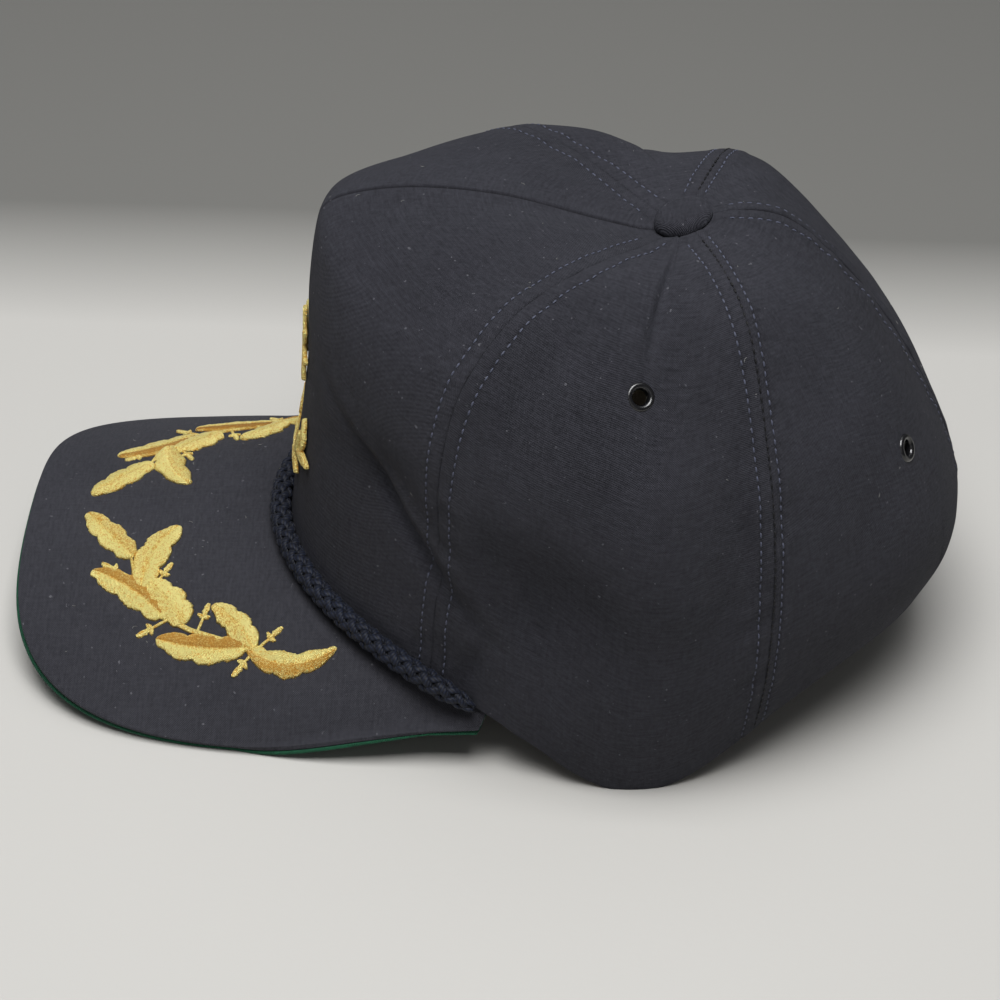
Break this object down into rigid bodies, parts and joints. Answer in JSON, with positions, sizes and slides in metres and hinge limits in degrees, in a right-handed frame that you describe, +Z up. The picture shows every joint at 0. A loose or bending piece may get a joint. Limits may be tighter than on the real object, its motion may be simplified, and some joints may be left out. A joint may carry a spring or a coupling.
{
  "type": "rope hat",
  "caption": "Five-panel cap with a rope along the foot of its front panel, a curved visor with oak branches in gold thread, eyelets, a covered button and a snap strap.",
  "frame": {"origin": "middle of the hat's box on the surface that it rests on", "axes": "+Z up, the visor points along -Y, +X is the wearer's left"},
  "size_m": [0.1867, 0.2865, 0.1468],
  "materials": {
    "crown_cloth": "fine matt weave, almost black navy",
    "visor_cloth": "fine matt weave over a board",
    "green_lining": "green cloth under the visor",
    "rope_braid": "braided navy cord",
    "sweatband_cloth": "beige band",
    "strap_plastic": "soft moulded plastic",
    "eyelet_metal": "glossy black",
    "gold_thread": "metallic gold embroidery"
  },
  "bodies": {
    "root": {"front_panel": "crown_cloth", "side_panel_left": "crown_cloth", "side_panel_right": "crown_cloth", "back_panel_left": "crown_cloth", "back_panel_right": "crown_cloth", "top_button": "crown_cloth", "visor": "visor_cloth", "visor_lining": "green_lining", "rope": "rope_braid", "sweatband": "sweatband_cloth", "snap_strap_left": "strap_plastic", "snap_strap_right": "strap_plastic", "eyelet_side_left": "eyelet_metal", "eyelet_side_right": "eyelet_metal", "eyelet_back_left": "eyelet_metal", "eyelet_back_right": "eyelet_metal", "oak_branch_left": "gold_thread", "oak_branch_right": "gold_thread", "emblem_star": "gold_thread", "emblem_sprigs": "gold_thread"}
  },
  "joints": []
}
